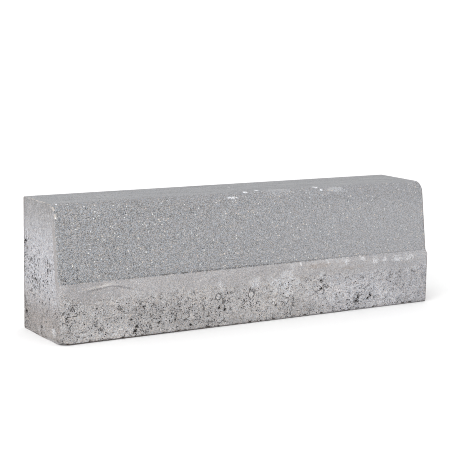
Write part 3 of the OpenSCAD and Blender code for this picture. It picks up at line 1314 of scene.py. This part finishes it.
face = tint(nodes, zone["Left"], FACE_RIGHT, FACE_LEFT)
crown = product(nodes, rise(nodes, height_up, *CROWN_RISE), rise(nodes, along_x, *CROWN_ALONG))
crown_change = blend(nodes, rise(nodes, along_x, *CROWN_CHANGE_ALONG), *CROWN_CHANGE)
face = brightened(nodes, face, calc(nodes, "MULTIPLY_ADD", crown, crown_change, 1.0))
face = tint(nodes, zone["Top"], face, TOP_GREY)
clouds = calc(nodes, "SUBTRACT", blotch["Cloud"], 0.5)
cloud_share = product(nodes, zone["Top"], TOP_CLOUDS)
face = brightened(nodes, face, calc(nodes, "MULTIPLY_ADD", clouds, cloud_share, 1.0))

end = tint(nodes, rise(nodes, height_up, *END_HEAD_RISE), END_GREY, END_HEAD)
end = tint(nodes, fall(nodes, height_up, *END_FOOT_RISE), end, END_BROWN)
# The shades include painted light at the foot of the left end, against the shade near the floor
end = brightened(nodes, end, blotch["Shade"])
end = brightened(nodes, end, blend(nodes, blotch["Streak"], *END_STREAK_TONE))
end = brightened(nodes, end, blend(nodes, rise(nodes, across_y, *END_BACK), 1.0, END_BACK_TONE))
end = brightened(nodes, end, calc(nodes, "MULTIPLY_ADD", hollow["Tone"], END_STONE_TONE, 1.0))
end = tint(nodes, product(nodes, blotch["Lime"], END_LIME), end, LIME_WHITE)

colour = tint(nodes, zone["Face"], core, face)
colour = tint(nodes, zone["End"], colour, end)
colour = tint(nodes, blotch["Fleck"], colour, FLECK_WHITE)
print("face from", FACE_LEFT, "to", FACE_RIGHT)

# %% [markdown]
# ## Grains
# Each sand grain makes the colour under it lighter or darker, warmer or cooler. How strongly depends on
# the zone: most on the left of the face, where the skin is worn and the sand shows, and least on the top,
# on the band and at the head of the ends. The rare white and cream grains of grit are laid over that.

# %% Grains
SAND_WHITE = (0.780, 0.780, 0.780)
SAND_CREAM = (0.600, 0.520, 0.440)
FACE_CONTRAST = (0.34, 0.56)
TOP_CONTRAST_LOSS = 0.42
CORE_CONTRAST = 0.44
END_CONTRAST = 0.41
END_HEAD_CONTRAST = 0.30
CALM_HEAD_RISE = (0.20, 0.27)
BAND_CONTRAST = 0.30
WARMTH = 0.20
TOP_GRIT_LOSS = 0.8
PLINTH_GRIT = 0.5
END_GRIT = 0.3
WHITE_SHARE = (0.45, 0.80)
CREAM_SHARE = 0.75

face_contrast = product(nodes, zone["Face"], blend(nodes, zone["Left"], *FACE_CONTRAST),
                        weaker(nodes, zone["Top"], TOP_CONTRAST_LOSS))
core_contrast = product(nodes, less(nodes, zone["Plinth"], zone["Band"]), CORE_CONTRAST)
calm_head = blend(nodes, rise(nodes, height_up, *CALM_HEAD_RISE), END_CONTRAST, END_HEAD_CONTRAST)
end_contrast = largest(nodes, product(nodes, zone["End"], calm_head),
                       product(nodes, zone["Back"], END_CONTRAST))
band_contrast = product(nodes, zone["Band"], BAND_CONTRAST)
contrast = total_of(nodes, face_contrast, core_contrast, band_contrast, end_contrast)

tone = calc(nodes, "MULTIPLY_ADD", sand["Tone"], contrast, 1.0)
tone = calc(nodes, "MULTIPLY_ADD", product(nodes, sand["Dark"], contrast), -1.0, tone)
warmth = product(nodes, sand["Warm"], contrast, WARMTH)
colour = brightened(nodes, colour, tone)
colour = scaled(nodes, colour, calc(nodes, "ADD", 1.0, warmth), 1.0, rest_of(nodes, warmth))

grit_share = total_of(nodes, less(nodes, zone["Face"], product(nodes, zone["Top"], TOP_GRIT_LOSS)),
                      product(nodes, zone["Plinth"], PLINTH_GRIT), product(nodes, zone["End"], END_GRIT))
bright_share = product(nodes, grit_share, blend(nodes, zone["Left"], *WHITE_SHARE))
colour = tint(nodes, product(nodes, sand["White"], bright_share), colour, SAND_WHITE)
colour = tint(nodes, product(nodes, sand["Cream"], grit_share, CREAM_SHARE), colour, SAND_CREAM)
print("grain contrast of the core", CORE_CONTRAST, "and of the ends", END_CONTRAST)

# %% [markdown]
# ## Worn edges
# Handling leaves its marks where the stone is touched first. A brown strip of bare paste runs along the
# worn arris of the left end, and pale chips sit where that end meets the crown. The back edges of the ends
# are darker, and a thin dark line on the rim of the right end is painted shadow. The attribute inset says
# how near a point is to the rim of an end, so no edge has to be looked for in the shader.

# %% Worn edges
ARRIS_BROWN = (0.285, 0.268, 0.260)
CHIP_BEIGE = (0.520, 0.480, 0.445)
EDGE_BROWN = (0.150, 0.132, 0.122)

# The strip on the left end: along the stone, in from the rim, across and up
ARRIS_ALONG = (-END_SKIN[1], -END_SKIN[0])
ARRIS_INSET = (0.18, 0.24)
ARRIS_FRONT = (-0.06, -0.03)
ARRIS_RISE = (0.09, 0.14)
ARRIS_LEAST = 0.25
ARRIS_BELOW = (0.24, 0.28)
# The chips at the crown
CHIP_ALONG = (0.003 - HALF_LENGTH, 0.0055 - HALF_LENGTH)
CHIP_INSET = (0.012, 0.022)
CHIP_RISE = (0.25, 0.275)
CHIP_SCALE = 70
CHIP_FROM = (0.47, 0.56)
WEAR_STRENGTH = 0.75
# Darker back edges of the ends, and a painted shadow line on the rim of the right end
BACK_EDGE = (HALF_WIDTH - 0.009, HALF_WIDTH - 0.001)
RIGHT_RIM = (HALF_LENGTH - 0.0035, HALF_LENGTH - 0.001)
RIGHT_RIM_BELOW = (0.255, 0.275)
EDGE_DARK_STRENGTH = 0.45

arris_rise = blend(nodes, rise(nodes, height_up, *ARRIS_RISE), ARRIS_LEAST, 1.0)
arris = product(nodes, fall(nodes, along_x, *ARRIS_ALONG), fall(nodes, inset, *ARRIS_INSET),
                fall(nodes, across_y, *ARRIS_FRONT), arris_rise, fall(nodes, height_up, *ARRIS_BELOW))
colour = tint(nodes, product(nodes, arris, WEAR_STRENGTH), colour, ARRIS_BROWN)
chip_noise = rise(nodes, noise(nodes, place, CHIP_SCALE, detail=3.0), *CHIP_FROM)
chipped = product(nodes, fall(nodes, along_x, *CHIP_ALONG), fall(nodes, inset, *CHIP_INSET),
                  rise(nodes, height_up, *CHIP_RISE), chip_noise)
colour = tint(nodes, product(nodes, chipped, WEAR_STRENGTH), colour, CHIP_BEIGE)
back_edge = product(nodes, zone["End"], rise(nodes, across_y, *BACK_EDGE))
right_rim = product(nodes, rise(nodes, along_x, *RIGHT_RIM), fall(nodes, height_up, *RIGHT_RIM_BELOW))
# Painted shadow line on the rim of the right end, and darker back edges of the ends
darkened_edges = product(nodes, largest(nodes, back_edge, right_rim), EDGE_DARK_STRENGTH)
colour = tint(nodes, darkened_edges, colour, EDGE_BROWN)
print("edges: worn arris, chips and dirt")

# %% [markdown]
# ## Hollows and fine relief
# Hollows are painted nearly black: painted shade that gathers in them, and dirt. The paste round a pit is a
# little paler. The groove, the seam under the lip and the rings round the pebbles are painted dark as shade
# too, and a thin dark brown line along the bed's front edge is painted contact shadow. The same dark mask
# lowers the surface as bump, on top of the relief in the mesh, and every sand grain stands up as a small
# bead. Bump is enough for these, because none is deeper than a grain of sand.

# %% Hollows and fine relief
# HOLLOW_DARK is painted shade: the near-black of pits, cracks, voids, rings, the groove, the seam and the
# foot line
HOLLOW_DARK = (0.025, 0.023, 0.022)
# Painted contact shadow along the bed's front edge: its dark brown, its strength from right to left, and its
# most
FOOT_SHADOW_BROWN = (0.040, 0.028, 0.022)
FOOT_SHADOW_SHARE = (0.8, 1.3)
FOOT_SHADOW_MOST = 0.95
RIM_PALE = 0.28
BACK_OPEN = 0.7
ARRIS_CALM = 0.8
PIT_DARK = 0.95
CRACK_DARK = 0.62
RING_DARK = 0.7
GROOVE_DARK = 0.55
SEAM_DARK = 0.32
SPECK_DARK = 0.8
FOOT_DARK = 0.8
BEAD_HEIGHT = 0.0005
HOLLOW_BUMP = -0.0012
BUMP_STRENGTH = 0.7

open_skin = total_of(nodes, less(nodes, zone["Plinth"], zone["Band"]),
                     product(nodes, zone["End"], broken["EndShare"]),
                     product(nodes, less(nodes, zone["Back"], zone["End"]), BACK_OPEN),
                     product(nodes, zone["Face"], broken["WornFace"]))
open_skin = less(nodes, open_skin, product(nodes, arris, ARRIS_CALM))
colour = tint(nodes, product(nodes, hollow["Rims"], open_skin, RIM_PALE), colour, LIME_WHITE)
# Painted shade in pits, cracks, rings, voids, the groove and the seam, and painted contact shadow on the
# foot line. The dark grit specks are the sand's own colour.
dark = largest(
    nodes,
    product(nodes, hollow["Pits"], open_skin, PIT_DARK),
    product(nodes, hollow["Cracks"], open_skin, CRACK_DARK),
    product(nodes, hollow["Rings"], RING_DARK),
    hollow["Voids"],
    product(nodes, less(nodes, broken["Groove"], zone["End"]), GROOVE_DARK),
    product(nodes, broken["Seam"], SEAM_DARK),
    product(nodes, sand["Speck"], zone["Face"], zone["Left"], SPECK_DARK),
    product(nodes, broken["Foot"], FOOT_DARK),
)
colour = tint(nodes, dark, colour, HOLLOW_DARK)
# Painted contact shadow: the line along the bed's front edge is tinted dark brown, more on the left
dark_edge_lines = product(nodes, broken["Foot"], blend(nodes, zone["Left"], *FOOT_SHADOW_SHARE))
colour = tint(nodes, calc(nodes, "MINIMUM", dark_edge_lines, FOOT_SHADOW_MOST), colour, FOOT_SHADOW_BROWN)
nodes.links.new(colour, shader.inputs["Base Color"])

beads = product(nodes, sand["Height"], rest_of(nodes, zone["Band"]), BEAD_HEIGHT)
relief = total_of(nodes, beads, product(nodes, dark, HOLLOW_BUMP))
bump = add(nodes, "ShaderNodeBump", {"Height": relief, "Distance": 1.0, "Strength": BUMP_STRENGTH})
nodes.links.new(bump.outputs["Normal"], shader.inputs["Normal"])
print("material with", len(nodes.nodes), "nodes")

# %% [markdown]
# ## From the tree to a plain mesh
# The modifier is evaluated once and its result becomes an ordinary mesh, which can be exported without
# Geometry Nodes. A closed mesh has two faces at every edge, and its volume is positive when the faces
# look outwards: both are worth checking before the stone takes the place of the CAD solid.

# %% From the tree to a plain mesh
builder = bpy.data.objects.new("kerb_builder", section_mesh)
scene.collection.objects.link(builder)
modifier = builder.modifiers.new("Pressed Kerb", "NODES")
pressed = kerb_tree(concrete)
modifier.node_group = pressed
for item in pressed.interface.items_tree:
    if item.item_type == "SOCKET" and item.in_out == "INPUT" and item.name in SIZES:
        modifier[item.identifier] = SIZES[item.name][1]
graph = bpy.context.evaluated_depsgraph_get()
stone_mesh = bpy.data.meshes.new_from_object(builder.evaluated_get(graph), depsgraph=graph)
builder.modifiers.remove(modifier)
bpy.data.objects.remove(builder)

check = bmesh.new()
check.from_mesh(stone_mesh)
open_edges = sum(1 for edge in check.edges if len(edge.link_faces) != 2)
volume = check.calc_volume(signed=True)
check.free()

stone = bpy.data.objects.new("kerb_cast", stone_mesh)
scene.collection.objects.link(stone)
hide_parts("kerb_stone")
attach(stone, "root")
stone_mesh.calc_loop_triangles()
print("stone:", len(stone_mesh.loop_triangles), "triangles,", open_edges, "open edges,",
      round(1000 * volume, 2), "litres")
